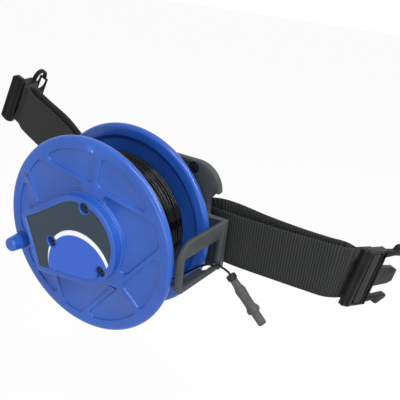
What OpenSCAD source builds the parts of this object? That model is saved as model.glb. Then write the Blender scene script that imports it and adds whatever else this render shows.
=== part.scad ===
// Belt-worn reel for a long thin test lead: a hand-cranked drum on a frame
// that is threaded on a waist belt. Millimetres, +Z up, the drum's axis along Y
// with the crank on the -Y side, origin on the drum axis at the back pad's face.

/* [Drum] */
// Radius of both flanges
flange_r = 85; // [78:1:95]
// Thickness of the rolled rim of a flange
rim_t = 7; // [6:0.5:9]
// Width of the rim band of a flange
rim_band = 10; // [8:1:12]
// Thickness of the disc inside the rim
web_t = 4; // [3.4:0.2:5]
// Distance between the middle planes of the two rims
flange_pitch = 54; // [48:1:64]
// Outer radius of the core that the lead is wound on
core_r = 37; // [36.5:0.5:42]
// Wall of the core
core_wall = 3; // [2:0.5:4]
// Outer radius of the hub tube
hub_r = 12; // [11:0.5:14]
// Running gap between the frame and the rear flange
drum_gap = 2.6; // [2:0.2:5]

/* [Ribs] */
// Distance of the straight ribs from the axis
chord_dist = 47.5; // [45:0.5:52]
// Width of the straight ribs
chord_w = 4.2; // [3:0.2:6]
// Width of the radial ribs
spoke_w = 5; // [3:0.5:8]
// Depth of the pockets between the ribs
pocket_depth = 1.8; // [1:0.2:2.4]
// Radius of the pockets' corners
pocket_corner = 4; // [2:0.5:6]

/* [Pad] */
// Radius of the round end of the raised pad
pad_r = 38.5; // [38:0.5:42]
// Distance from the axis to the corner centres of the pad's wide end
pad_reach = 54; // [48:1:56]
// Half distance between those corner centres
pad_half = 22.5; // [18:0.5:26]
// Radius of those corners
pad_corner = 5; // [3:0.5:7]
// Height of the pad above the flange
pad_h = 8.2; // [8:0.2:12]
// Wall of the pad's front
pad_wall = 2.6; // [2.2:0.2:4]
// Width of the border around the label
label_border = 4.9; // [4:0.1:6]
// Depth of the label recess
label_depth = 1; // [0.8:0.1:1.4]
// Thickness of the label plate
label_t = 0.6; // [0.4:0.1:0.8]

/* [Flange screws] */
// Radius of the circle that the screws stand on
screw_circle = 31.1; // [30.5:0.1:31.5]
// Radius of the recess above a screw
recess_r = 4.5; // [4.2:0.1:5]
// Wall around that recess
recess_wall = 1.1; // [0.8:0.1:1.4]
// Depth from the pad's face to the screw's seat
seat_depth = 5; // [4.5:0.1:6]
// Radius of the screw's head
flange_head_r = 3; // [2.6:0.1:4.1]
// Radius of the screw's shank
flange_shank_r = 1.75; // [1.5:0.05:2]
// Length of the screw's shank
flange_shank = 27; // [20:1:34]

/* [Crank] */
// Direction of the crank knob from the axis, counter-clockwise from +X
crank_angle = 200; // [0:5:355]
// Inset of the knob's pin from the flange's edge
knob_inset = 10; // [9:0.5:12]
// Radius of the knob at its foot
knob_foot_r = 7.75; // [7:0.25:9]
// Radius of the knob at its tip
knob_tip_r = 6.25; // [5.5:0.25:7]
// Length of the knob
knob_len = 16; // [15:1:30]
// Radius of the knob's rounded end
knob_round = 2.5; // [1.5:0.5:4]
// Radius of the knob's pin
knob_pin_r = 3; // [2.5:0.1:3.4]

/* [Axle] */
// Radius of the axle
axle_r = 5; // [4:0.5:6]
// Radius of the axle's head
axle_head_r = 9; // [8:0.5:11]
// Thickness of the axle's head
axle_head_t = 4; // [3:0.5:4.5]
// Wall of the bushes
bush_wall = 3; // [2:0.5:3.5]
// Length of the bushes
bush_len = 12; // [8:1:18]
// Running clearance between the axle and the bushes, on the radius
run_clear = 0.05; // [0.02:0.01:0.1]
// Height of the axle nut
nut_h = 4; // [3:0.5:5]
// Width of the axle nut over its corners
nut_corner = 17; // [15:0.5:19]

/* [Lead] */
// Diameter of the lead
lead_d = 2; // [1.6:0.1:2.4]
// Outer radius of the wound lead
winding_r = 62; // [50:1:63]
// Number of bands in which the outer turns lie
winding_bands = 5; // [3:1:7]
// Height of those bands over the turns below
band_h = 1.8; // [1:0.2:2.4]

/* [Frame] */
// Width of the frame's upper part on the guard's side of the axis
frame_half = 86; // [84:1:92]
// Width of the frame's upper part on the other side of the axis
frame_left = 67; // [66:1:80]
// Height of the frame's top above the axis
frame_top = 67.6; // [64:0.4:72]
// Radius of the frame's upper corners
frame_corner = 24; // [16:1:28]
// Radius of the frame's round lower part
frame_low_r = 62; // [56:1:70]
// Thickness of the frame's plate
frame_t = 7; // [6:0.5:9]
// Half height of the guard and of the arms that carry it
guard_half = 22; // [20:0.5:26]
// Height of the notch above the guard
notch_top = 44; // [38:1:48]
// Depth of the notch
notch_depth = 10; // [6:1:14]

/* [Guard] */
// Thickness of the guard's wall
guard_t = 4.2; // [3:0.2:6]
// Gap between the front flange and the guard
guard_gap = 1.6; // [1:0.1:3]
// Outward slant of the guard, in degrees
guard_slant = 3.3; // [2:0.1:5]
// Radius of the guard's upper front corner
guard_corner = 17; // [10:1:18]
// Radius of the guard's lower front corner
guard_low_corner = 7; // [4:1:12]
// Width of the guard's front bar
guard_bar = 7; // [5:0.5:9]
// Height of the window's top above the axis
window_top = 8; // [4:0.5:12]
// Depth of the window's bottom below the axis
window_low = 17.6; // [14:0.2:18]
// Radius of the window's corners
window_corner = 2.5; // [1.5:0.5:4]
// Reach of the lip below the window towards the drum
lip_reach = 6; // [3:0.5:7]
// Length of that lip
lip_len = 36; // [24:1:37]
// Thickness of that lip
lip_t = 3; // [2:0.5:3.5]

/* [Carrier] */
// Inset of the carrier from the frame's outline
carrier_inset = 4; // [3:0.5:6]
// Thickness of the carrier's front wall
carrier_t = 5; // [5:0.5:7]
// Depth of the belt channel
channel_d = 11; // [9:0.5:14]
// Height of the belt channel
channel_h = 57; // [54:0.5:62]
// Wall above and below the channel
channel_wall = 4.5; // [3:0.5:6]
// Half length of the channel
channel_half = 62; // [56:1:68]
// Thickness of the carrier's back wall
carrier_back_t = 3; // [2:0.5:4]
// Thickness of the soft back pad
back_pad_t = 2; // [1.5:0.5:4]

/* [Frame screws] */
// Sideways place of the upper screw on the guard's side
screw_x = 59; // [54:1:62]
// Sideways place of the upper screw on the side away from the guard
left_screw_x = 45; // [42:1:46]
// Height of the upper screws
screw_z = 60.5; // [57:0.5:61]
// Sideways place of the lower screws
low_screw_x = 36; // [32:1:40]
// Depth of the lower screws below the axis
low_screw_z = 42; // [40:1:44]
// Radius of the counterbore
bore_r = 4.8; // [4.4:0.1:5.2]
// Depth of the counterbore
bore_depth = 3.5; // [3:0.1:4]
// Radius of the screw's head
frame_head_r = 4; // [3.2:0.1:4.2]
// Radius of the screw's shank
frame_shank_r = 1.6; // [1.4:0.1:2]

/* [Belt] */
// Width of the webbing
belt_w = 47.5; // [44:0.5:50]
// Thickness of the webbing
belt_t = 2; // [1.6:0.1:2.2]

/* [Buckle] */
// Width of the male half
buckle_w = 53; // [52:0.5:60]
// Turn of the male half from the belt, in degrees
male_turn = 62; // [50:1:70]
// Dip of the male half, in degrees
male_dip = 8; // [0:1:24]
// Roll of the male half about its own length, in degrees
male_roll = 6; // [0:1:20]
// Length of the ladder end of the male half
ladder_len = 26; // [25:1:34]
// Length of the arms and the tongue
arm_len = 25; // [20:1:28]
// Thickness of the male half
male_t = 8; // [7:0.5:9]
// Length of the female half
female_len = 50; // [46:1:54]
// Thickness of the female half
female_t = 16; // [14:0.5:18]
// Wall of the female half
female_wall = 2; // [1.8:0.1:2.6]
// Width of the female half over its rings
female_w = 66; // [60:0.5:68]
// Distance from the axis to the male half
male_reach = 198.5; // [180:1:220]
// Distance from the axis to the female half
female_reach = 236; // [220:1:260]

/* [Plug] */
// Radius of the plug's grip
grip_r = 4.6; // [4.2:0.1:5.4]
// Length of the plug's grip
grip_len = 20; // [18:1:26]
// Radius of the plug's neck
neck_r = 3.6; // [3.4:0.1:4]
// Length of the plug's neck
neck_len = 9; // [7:1:12]
// Radius of the collar in front of the grip
collar_r = 5.8; // [5.4:0.1:6.5]
// Length of the collar
collar_len = 4.5; // [3.5:0.5:6]
// Radius of the front sleeve
shroud_r = 3.9; // [3.7:0.1:4.3]
// Length of the front sleeve
shroud_len = 12.5; // [10:0.5:18]
// Radius of the contact pin
pin_r = 2; // [1.9:0.05:2.05]
// Radius of the rear ring
ring_r = 4.4; // [4:0.1:5]
// Length of the rear ring
ring_len = 5; // [4:0.5:7]

/* [Hidden] */
$fn = 96;
// Clearance of a pressed or screwed fit, on the radius
fit = 0.02;
// Clearance between pieces that lie loosely together
loose = 0.3;
// Number of steps along a rounded corner
arc_steps = 10;

// Distance of the knob's pin from the axis
knob_dist = flange_r - knob_inset;

// Distances forward of the back pad's face
back_wall_z = back_pad_t;
channel_z = back_wall_z + carrier_back_t;
carrier_z = channel_z + channel_d;
frame_z = carrier_z + carrier_t;
frame_face_z = frame_z + frame_t;
rear_mid_z = frame_face_z + drum_gap + rim_t / 2;
rear_back_z = rear_mid_z - rim_t / 2;
rear_web_z = rear_back_z + web_t;
front_mid_z = rear_mid_z + flange_pitch;
front_face_z = front_mid_z + rim_t / 2;
front_web_z = front_face_z - web_t;
pad_face_z = front_face_z + pad_h;
pad_inner_z = pad_face_z - pad_wall;
label_z = pad_face_z - label_depth;
seat_z = pad_face_z - seat_depth;
screw_angles = [crank_angle, crank_angle + 120, crank_angle + 240];

// Hub, bushes and axle
bush_r = axle_r + run_clear + bush_wall;
bush_flange_r = bush_r + 2;
bush_flange_t = 1.2;
hub_front_z = front_web_z + 2.4;
washer_gap = 0.1;
front_washer_z = hub_front_z + bush_flange_t + washer_gap;
front_washer_t = 1.5;
spring_z = front_washer_z + front_washer_t;
spring_t = 1.2;
nut_z = spring_z + spring_t;
axle_end_z = label_z - 0.6;
access_r = bush_flange_r + 1.5;
drag_t = drum_gap - 0.2;
drag_r = 14;
cavity_r = core_r - core_wall;

// Knob and pin
seat_h = 0.8;
knob_z = front_face_z + seat_h + 0.1;
knob_gap = 0.05;
bead_r = knob_pin_r + 0.5;
bead_z = knob_z + knob_len * 0.55;
bead_t = 1.2;
pin_head_r = knob_pin_r + 2.5;
pin_head_t = 1.5;
pin_end_z = bead_z + bead_t + 1.5;

// Guard
guard_x = flange_r + guard_gap;
guard_front_y = -front_mid_z;
guard_back_y = -frame_z;
guard_len = guard_back_y - guard_front_y;
arm_half = guard_half + 0.5;
guard_root = guard_len - frame_t / 2;
guard_outer_x = guard_x + guard_t + guard_len * tan(guard_slant);

// Belt: each station is a point of the webbing's middle line and how far its
// upper edge leans along X and along Y for each millimetre of height
tail_layer_y = -(channel_z + belt_t / 2 + loose);
front_layer_y = tail_layer_y - belt_t - 4 * loose;
male_place = [male_reach, 1, -3.3];
female_place = [-female_reach, 47, 46.5];
female_roll = 24;
plate_len = 6;
block = 17;
body_t = 11;
ring_t = 5;
rail = 3;
ring_hole_len = 15;
ring_hole_w = 20;
ring_stand = 12;
plate_inset = 3;
female_pitch = -2;
female_turn = 96;
function placed(stations, from, to) =
    [for (s = stations) [from + (to - from) * s[0], s[1], s[2], s[3], s[4]]];
left_stations = placed([[0.83, 44.5, 36.5, 0.36, 0.05], [0.682, 38, 30, 0.28, 0.08],
                        [0.483, 29, 21, 0.2, 0.08], [0.318, 18, 13.5, 0.14, 0.05],
                        [0.188, -1, 6.5, 0.06, 0.01], [0.091, -9.8, 2, 0.01, 0],
                        [0, front_layer_y, 0, 0, 0], [-0.1, front_layer_y, 0, 0, 0]],
                       -channel_half, -female_reach);
left_tail_stations = placed([[0.81, 53, 38.5, 0.36, 0.05], [0.682, 46, 33.5, 0.28, 0.08],
                             [0.483, 37, 25, 0.2, 0.08], [0.318, 25.5, 18, 0.15, 0.05],
                            [0.188, 15, 12.5, 0.1, 0.03], [0.1, 2.5, 6, 0.04, 0.01],
                            [0.055, tail_layer_y + 2.6, 2, 0.01, 0],
                            [0.02, tail_layer_y + 0.5, 0.2, 0, 0],
                            [-0.01, tail_layer_y, 0, 0, 0], [-0.04, tail_layer_y, 0, 0, 0]],
                            -channel_half, -female_reach);
right_stations = placed([[-0.13, front_layer_y, 0, 0, 0], [0, front_layer_y, 0, 0, 0],
                         [0.28, -11.6, 0, 0, 0],
                         [0.574, -9.5, -0.4, 0.01, 0], [0.765, -6.5, -1, 0.06, 0.03],
                         [0.88, -4.2, -1.4, 0.12, 0.05]], channel_half, male_reach);
right_tail_stations = placed([[0.9, 3, 0.2, 0.1, 0.1], [0.82, 1.4, 0.6, 0.07, 0.07], [0.647, -1.6, 2.2, 0.03, 0.02],
                              [0.426, -2.6, 3.6, 0, 0], [0.206, -3.4, 4.2, 0, 0],
                              [0.09, -5.2, 2.6, 0, 0], [0.02, tail_layer_y + 0.1, 0.4, 0, 0],
                              [-0.01, tail_layer_y, 0, 0, 0],
                              [-0.044, tail_layer_y, 0, 0, 0]], channel_half, male_reach);

// Route of the free lead, from the winding to the plug's ring
lead_route = [[38, -46, -53], [60, -43, -38], [79, -40.6, -21.5], [85.4, -39.8, -16.6],
              [89.4, -37.2, -15.2], [93.6, -34, -15.4], [98, -29.2, -18.8], [101.2, -25.8, -22.4],
              [103.1, -24.9, -24.3], [107.5, -24.4, -29]];
plug_place = [105.8, -24.6, -27.2];
crimp_r = 2.2;
crimp_len = 6;
plug_pitch = 46.5;
plug_yaw = 6;

// Inner end of the lead and its clamp
clamp_angle = 110;
clamp_r = 25;
clamp_h = 5;
clamp_screw_y = 3.2;
clamp_shank_r = 1.25;
inner_lead_z = rear_web_z + 2.4;

// ---- Shared shapes ----

// Turns a shape drawn in X and Z and raised forward into the reel's frame
module upright() rotate([90, 0, 0]) children();

// A ring around the local Z axis
module ring(outer, inner, z, height) translate([0, 0, z]) difference() {
    cylinder(r = outer, h = height);
    translate([0, 0, -1]) cylinder(r = inner, h = height + 2);
}

// A countersunk-free screw: round head with a cross slot, then a plain shank
module screw(seat, head_r, head_t, shank_r, shank) {
    slot_w = head_r * 0.28;
    slot_d = head_t * 0.5;
    difference() {
        translate([0, 0, seat]) cylinder(r = head_r, h = head_t);
        for (turn = [0, 90]) rotate([0, 0, turn])
            translate([-head_r * 0.6, -slot_w / 2, seat + head_t - slot_d])
                cube([head_r * 1.2, slot_w, slot_d + 1]);
    }
    translate([0, 0, seat - shank]) cylinder(r = shank_r, h = shank + 0.01);
}

// Points of an arc
function arc(centre, r, from, to) = [for (i = [0:arc_steps])
    centre + r * [cos(from + (to - from) * i / arc_steps), sin(from + (to - from) * i / arc_steps)]];

// Outline of the pad, drawn inwards by an inset: a round end at the axis and two
// corners at the crank's end, joined by tangent lines
function pad_outline(inset) =
    let (big = pad_r - inset, small = max(pad_corner - inset, 0.8),
         reach = pad_reach - max(inset - pad_corner + 0.8, 0),
         half = pad_half - max(inset - pad_corner + 0.8, 0),
         away = sqrt(reach * reach + half * half), tilt = atan2(half, reach),
         tangent = tilt + acos((big - small) / away))
    concat(arc([reach, half], small, 0, tangent),
           [for (i = [0:4 * arc_steps]) let (a = tangent + (360 - 2 * tangent) * i / (4 * arc_steps))
                big * [cos(a), sin(a)]],
           arc([reach, -half], small, 360 - tangent, 360));

module pad_shape(inset) rotate([0, 0, crank_angle]) polygon(pad_outline(inset));

// Profile of a flange: a disc with a rolled rim; the disc is at the profile's foot
module flange_profile(inner) {
    round_r = rim_t / 2;
    polygon(concat([[inner, 0]], arc([flange_r - round_r, round_r], round_r, -90, 90),
                   [[flange_r - rim_band, rim_t], [flange_r - rim_band - (rim_t - web_t), web_t],
                    [inner, web_t]]));
}

// The pockets of the front flange, between the rim, the ribs and the pad
module pocket_shapes() {
    offset(r = pocket_corner, $fn = 32) offset(delta = -pocket_corner) difference() {
        circle(r = flange_r - rim_band);
        pad_shape(-1.5);
        for (angle = screw_angles) rotate([0, 0, angle]) {
            translate([chord_dist - chord_w / 2, -flange_r]) square([chord_w, 2 * flange_r]);
            translate([0, -spoke_w / 2]) square([flange_r, spoke_w]);
        }
        rotate([0, 0, crank_angle]) translate([knob_dist, 0]) circle(r = knob_foot_r + 2);
    }
}

// ---- Drum ----

module front_flange() color("royalblue") upright() {
    difference() {
        union() {
            translate([0, 0, front_face_z]) mirror([0, 0, 1])
                rotate_extrude() flange_profile(cavity_r);
            translate([0, 0, front_web_z + 0.4])
                linear_extrude(height = pad_face_z - front_web_z - 0.4) pad_shape(0);
            rotate([0, 0, crank_angle]) translate([knob_dist, 0, front_web_z])
                cylinder(r = knob_foot_r + 1.2, h = web_t + seat_h);
        }
        translate([0, 0, front_face_z - pocket_depth]) linear_extrude(height = pad_h)
            pocket_shapes();
        translate([0, 0, label_z]) linear_extrude(height = label_depth + 1)
            pad_shape(label_border);
        difference() {
            translate([0, 0, front_web_z - 1])
                cylinder(r = cavity_r, h = pad_inner_z - front_web_z + 1);
            for (angle = screw_angles) rotate([0, 0, angle])
                translate([screw_circle, 0, front_web_z - 2])
                    cylinder(r = recess_r + recess_wall, h = pad_h + web_t + 2);
        }
        translate([0, 0, pad_inner_z - 1]) cylinder(r = access_r, h = pad_wall + 2);
        rotate([0, 0, crank_angle]) translate([core_r + 3, -(pad_half - 2), front_web_z - 1])
            cube([pad_reach - core_r - 3, 2 * (pad_half - 2), pad_h + web_t - pad_wall]);
        for (angle = screw_angles) rotate([0, 0, angle]) translate([screw_circle, 0, 0]) {
            translate([0, 0, seat_z]) cylinder(r = recess_r, h = seat_depth + 1);
            translate([0, 0, front_web_z - 1])
                cylinder(r = flange_shank_r + 0.3, h = seat_z - front_web_z + 2);
        }
        rotate([0, 0, crank_angle]) translate([knob_dist, 0, front_web_z - 1])
            cylinder(r = knob_pin_r + fit, h = web_t + seat_h + 2);
        rotate([0, 0, crank_angle]) translate([knob_dist, 0, front_web_z - rim_t])
            cylinder(r = pin_head_r + loose, h = rim_t);
    }
    for (angle = screw_angles) rotate([0, 0, angle]) translate([screw_circle, 0, 0])
        ring(recess_r + recess_wall, recess_r, label_z - 0.5, label_depth + 0.5);
}

module rear_drum() color("royalblue") upright() difference() {
    union() {
        translate([0, 0, rear_back_z]) rotate_extrude() flange_profile(bush_r + fit);
        ring(core_r, cavity_r, rear_back_z, front_web_z - rear_back_z);
        ring(hub_r, bush_r + fit, rear_back_z, hub_front_z - rear_back_z);
        for (angle = screw_angles) rotate([0, 0, angle]) {
            translate([screw_circle, 0, rear_web_z - 1])
                cylinder(r = flange_shank_r + 2.7, h = front_web_z - rear_web_z + 0.4);
            translate([hub_r - 1, -1.2, rear_web_z - 1])
                cube([screw_circle - flange_shank_r - 1 - hub_r, 2.4,
                      front_web_z - rear_web_z - 8]);
        }
    }
    for (angle = screw_angles) rotate([0, 0, angle])
        translate([screw_circle, 0, seat_z - flange_shank - 1])
            cylinder(r = flange_shank_r + fit, h = flange_shank + 20);
    rotate([0, 0, clamp_angle]) translate([cavity_r - 2, 0, inner_lead_z])
        rotate([0, 90, 0]) cylinder(r = lead_d / 2 + loose, h = core_wall + 4);
    rotate([0, 0, clamp_angle]) translate([clamp_r, clamp_screw_y, rear_back_z - 1])
        cylinder(r = clamp_shank_r + fit, h = web_t + 2);
}

module label_plate() color("darkslategray") upright() difference() {
    translate([0, 0, label_z]) linear_extrude(height = label_t) pad_shape(label_border + 0.15);
    for (angle = screw_angles) rotate([0, 0, angle]) translate([screw_circle, 0, label_z - 1])
        cylinder(r = recess_r + recess_wall + 0.15, h = label_t + 2);
}

module flange_screws() color("silver") upright() for (angle = screw_angles)
    rotate([0, 0, angle]) translate([screw_circle, 0, 0])
        screw(seat_z, flange_head_r, 2.6, flange_shank_r, flange_shank);

module crank_knob() color("royalblue") upright()
    rotate([0, 0, crank_angle]) translate([knob_dist, 0, 0]) difference() {
        translate([0, 0, knob_z]) rotate_extrude() polygon(concat([[0, 0], [knob_foot_r, 0]],
            arc([knob_tip_r - knob_round, knob_len - knob_round], knob_round, 0, 90),
            [[0, knob_len]]));
        translate([0, 0, knob_z - 1])
            cylinder(r = knob_pin_r + knob_gap, h = pin_end_z - knob_z + 1.5);
        translate([0, 0, bead_z - 0.4]) cylinder(r = bead_r + 0.4, h = bead_t + 0.8);
    }

module knob_pin() color("silver") upright()
    rotate([0, 0, crank_angle]) translate([knob_dist, 0, 0]) {
        translate([0, 0, front_web_z - pin_head_t]) cylinder(r = pin_head_r, h = pin_head_t);
        translate([0, 0, front_web_z - 0.01])
            cylinder(r = knob_pin_r, h = pin_end_z - front_web_z + 0.01);
        translate([0, 0, bead_z]) cylinder(r = bead_r, h = bead_t);
    }

// The wound lead as one roll, with a few bands of turns that stand higher
module lead_winding() color("black") upright() {
    foot_z = rear_web_z + 0.2;
    width = front_web_z - rear_web_z - 0.4;
    pitch = width / (winding_bands + 0.4);
    translate([0, 0, foot_z]) rotate_extrude() polygon(concat([[core_r + 0.1, 0],
        [winding_r - band_h, 0]],
        [for (i = [0:winding_bands - 1], c = [[0.3, 0], [0.42, 1], [0.98, 1], [1.1, 0]])
            [winding_r - band_h + c[1] * band_h, (i + c[0]) * pitch]],
        [[winding_r - band_h, width], [core_r + 0.1, width]]));
}

module inner_lead() color("black") upright() rotate([0, 0, clamp_angle])
    translate([clamp_r - 5, 0, inner_lead_z]) rotate([0, 90, 0])
        cylinder(r = lead_d / 2, h = core_r - clamp_r + 5);

module lead_clamp() color("white") upright() rotate([0, 0, clamp_angle])
    translate([clamp_r, 0, 0]) difference() {
        translate([-3.5, -5, rear_web_z]) cube([7, 10, clamp_h]);
        translate([-5, 0, inner_lead_z]) rotate([0, 90, 0])
            cylinder(r = lead_d / 2 + fit, h = 10);
        translate([0, clamp_screw_y, rear_web_z - 1])
            cylinder(r = clamp_shank_r + fit, h = clamp_h + 2);
    }

module clamp_screw() color("silver") upright() rotate([0, 0, clamp_angle])
    translate([clamp_r, clamp_screw_y, 0])
        screw(rear_web_z + clamp_h, clamp_shank_r + 0.65, 1.4, clamp_shank_r, clamp_h + web_t - 1);

module front_bush() color("peru") upright() {
    ring(bush_r, axle_r + run_clear, hub_front_z - bush_len, bush_len);
    ring(bush_flange_r, axle_r + run_clear, hub_front_z, bush_flange_t);
}

module rear_bush() color("peru") upright()
    ring(bush_r, axle_r + run_clear, rear_back_z, bush_len);

// ---- Axle, fixed to the frame ----

module axle() color("silver") upright() {
    translate([0, 0, frame_z - axle_head_t]) cylinder(r = axle_head_r, h = axle_head_t);
    translate([0, 0, frame_z - 0.01]) cylinder(r = axle_r, h = axle_end_z - frame_z + 0.01);
}

module axle_nut() color("silver") upright() difference() {
    translate([0, 0, nut_z]) cylinder(d = nut_corner, h = nut_h, $fn = 6);
    translate([0, 0, nut_z - 1]) cylinder(r = axle_r + fit, h = nut_h + 2);
}

module spring_washer() color("silver") upright() ring(axle_r + 3.5, axle_r + fit, spring_z, spring_t);

module front_washer() color("silver") upright()
    ring(axle_r + 5, axle_r + fit, front_washer_z, front_washer_t);

module drag_washer() color("dimgray") upright() ring(drag_r, axle_r + fit, frame_face_z, drag_t);

// ---- Frame ----

// Outline of the frame's plate and of the carrier behind it
module frame_shape(inset) {
    corner = frame_corner - inset;
    top = frame_top - inset;
    right = frame_half - inset;
    left = frame_left - inset;
    low = -arm_half + inset;
    difference() {
        union() {
            translate([-left, low]) square([left + right, top - corner - low]);
            translate([corner - left, low]) square([left + right - 2 * corner, top - low]);
            translate([right - corner, top - corner]) circle(r = corner);
            translate([corner - left, top - corner]) circle(r = corner);
            circle(r = frame_low_r - inset);
        }
        translate([frame_half + 1, 0])
            polygon([[9, arm_half - inset], [9, notch_top + inset], [-5, notch_top + inset],
                     [-(notch_depth + inset), notch_top - 7],
                     [-(notch_depth + inset), arm_half - inset]]);
    }
}

// Puts a shape into the slanted plane of the guard, with Y along its length
module in_guard_plane() translate([guard_x, guard_front_y, 0]) rotate([0, 0, -guard_slant])
    children();

// The side bar that guides the lead: drawn in Y and Z, raised outwards along X
module guard() {
    in_guard_plane() rotate([90, 0, 90]) linear_extrude(height = guard_t) difference() {
            {
                polygon(concat([[guard_root, -guard_half], [guard_root, guard_half]],
                    arc([guard_corner, guard_half - guard_corner], guard_corner, 90, 180),
                    arc([guard_low_corner, guard_low_corner - guard_half], guard_low_corner,
                        180, 270)));
            }
            window_len = guard_len - frame_t - 3 - guard_bar;
            polygon(concat(
                arc([guard_bar + window_corner, window_top - window_corner], window_corner, 90, 180),
                arc([guard_bar + window_corner, window_corner - window_low], window_corner,
                    180, 270),
                arc([guard_bar + window_len - window_corner, window_corner - window_low],
                    window_corner, 270, 360),
                arc([guard_bar + window_len - window_corner, window_top - window_corner],
                    window_corner, 0, 90)));
        }
}

module front_frame() color([0.22, 0.23, 0.25]) {
    difference() {
        upright() {
            translate([0, 0, frame_z]) linear_extrude(height = frame_t) frame_shape(0);
            translate([frame_half - 12, -arm_half, frame_z])
                cube([guard_outer_x - frame_half + 12, 2 * arm_half, frame_t]);
        }
        upright() {
            translate([0, 0, frame_z - 1]) cylinder(r = axle_r + fit, h = frame_t + 2);
            frame_screw_places() {
                translate([0, 0, frame_face_z - bore_depth]) cylinder(r = bore_r, h = bore_depth + 1);
                translate([0, 0, frame_z - 1]) cylinder(r = frame_shank_r + 0.3, h = frame_t);
            }
        }
    }
    guard();
    in_guard_plane() translate([-lip_reach, guard_bar + 1, -window_low - lip_t - 0.5])
        cube([lip_reach + 1, lip_len, lip_t]);
}

module frame_screw_places() {
    for (x = [-left_screw_x, screw_x]) translate([x, screw_z, 0]) children();
    for (side = [-1, 1]) translate([side * low_screw_x, -low_screw_z, 0]) children();
}

module frame_screws() color("silver") upright() frame_screw_places()
    screw(frame_face_z - bore_depth, frame_head_r, 2.4, frame_shank_r,
          frame_t - bore_depth + carrier_t - 0.6);

module belt_carrier() color([0.2, 0.21, 0.23]) upright() difference() {
    union() {
        translate([0, 0, carrier_z]) linear_extrude(height = carrier_t) frame_shape(carrier_inset);
        for (side = [-1, 1]) translate([-channel_half,
                side * (channel_h + channel_wall) / 2 - channel_wall / 2, back_wall_z])
            cube([2 * channel_half, channel_wall, channel_d + carrier_back_t + 0.5]);
        translate([-channel_half, -channel_h / 2 - 0.5, back_wall_z])
            cube([2 * channel_half, channel_h + 1, carrier_back_t]);
    }
    translate([0, 0, carrier_z - 1]) cylinder(r = axle_head_r + loose, h = carrier_t + 2);
    frame_screw_places() translate([0, 0, carrier_z - 1])
        cylinder(r = frame_shank_r + fit, h = carrier_t + 2);
}

module carrier_pad() color("dimgray") upright()
    translate([-channel_half + 3, -channel_h / 2, 0])
        cube([2 * channel_half - 6, channel_h, back_pad_t]);

// ---- Belt ----

// A smooth path through a few points
function spline(p, steps) = concat([for (i = [0:len(p) - 2], k = [0:steps - 1])
    let (a = p[max(i - 1, 0)], b = p[i], c = p[i + 1], d = p[min(i + 2, len(p) - 1)], t = k / steps)
    0.5 * (2 * b + (c - a) * t + (2 * a - 5 * b + 4 * c - d) * t * t
           + (3 * b - a - 3 * c + d) * t * t * t)], [p[len(p) - 1]]);

function unit(v) = v / norm(v);

// A station of the webbing, given along and across the male half
male_along = [cos(male_turn) * cos(male_dip), sin(male_turn) * cos(male_dip), -sin(male_dip)];
male_level = [-sin(male_turn), cos(male_turn), 0];
male_across = cos(male_roll) * male_level + sin(male_roll) * cross(male_along, male_level);
male_up = cross(male_along, male_across);
function at_male(along, across) = let (p = male_place + along * male_along + across * male_across)
    [p[0], p[1], p[2], male_up[0] / male_up[2], male_up[1] / male_up[2]];

// Stations of a bend in the male half, round a point given along and across
function bend(along, across, r, from, to) = [for (i = [0:6])
    at_male(along + r * cos(from + (to - from) * i / 6), across + r * sin(from + (to - from) * i / 6))];

// A station of the webbing off the broad side of the female half, along from its end
female_along = [cos(female_turn) * cos(female_pitch), sin(female_turn) * cos(female_pitch),
                -sin(female_pitch)];
female_up = [cos(female_roll) * sin(female_pitch) * cos(female_turn)
                 + sin(female_roll) * sin(female_turn),
             cos(female_roll) * sin(female_pitch) * sin(female_turn)
                 - sin(female_roll) * cos(female_turn),
             cos(female_roll) * cos(female_pitch)];
female_side = cross(female_along, female_up);
function at_female(along, off) =
    let (p = female_place + along * female_along + (female_t / 2 + off) * female_side)
    [p[0], p[1], p[2], female_up[0] / female_up[2], female_up[1] / female_up[2]];

// Webbing of constant width and thickness through stations
module webbing(stations) {
    n = len(stations);
    path = [for (s = stations) [s[0], s[1], s[2]]];
    points = [for (i = [0:n - 1])
        let (dir = unit(path[min(i + 1, n - 1)] - path[max(i - 1, 0)]),
             lean = [stations[i][3], stations[i][4], 1],
             wide = unit(lean - dir * (lean * dir)), thick = cross(dir, wide))
        for (c = [[1, 1], [-1, 1], [-1, -1], [1, -1]])
            path[i] + wide * (c[0] * belt_w / 2) + thick * (c[1] * belt_t / 2)];
    faces = [for (i = [0:n - 2], k = [0:3], half = [0, 1])
        let (a = i * 4 + k, b = i * 4 + (k + 1) % 4)
        half == 0 ? [a, b, b + 4] : [a, b + 4, a + 4]];
    last = (n - 1) * 4;
    polyhedron(points = points, faces = concat(faces,
        [[2, 1, 0], [3, 2, 0], [last, last + 1, last + 2], [last, last + 2, last + 3]]));
}

// The ladder of the male half: a lip and a round end bar, then the bar that the webbing
// turns round
end_bar_r = 4.4;
end_lip = 1.4;
mid_bar = 13.8;
mid_bar_len = 3;
slot_w = belt_t + 1.2;

// The webbing's way through the ladder: over the end bar, round the middle bar and back.
// All are places of the webbing's middle, along the male half and across it
over_y = end_bar_r + belt_t / 2 + loose;
under_y = -1.8;
down_x = mid_bar - 2.2;
back_x = mid_bar + mid_bar_len + 1.6;
bend_r = 1.4;
back_lift = 2.6;
come_x = -3;
come_lift = 1;
level_x = 4;
leave_x = -1;
leave_lift = 3.2;
ladder_stations = concat([at_male(come_x, over_y + come_lift), at_male(level_x, over_y)],
    bend(down_x - bend_r, over_y - bend_r, bend_r, 90, 0),
    bend(down_x + bend_r, under_y, bend_r, 180, 270),
    bend(back_x - bend_r, under_y, bend_r, -90, 0),
    [at_male(back_x, over_y)],
    bend(back_x - bend_r, over_y + back_lift - bend_r, bend_r, 0, 90),
    [at_male(level_x, over_y + back_lift + 0.1), at_male(leave_x, over_y + leave_lift)]);

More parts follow.
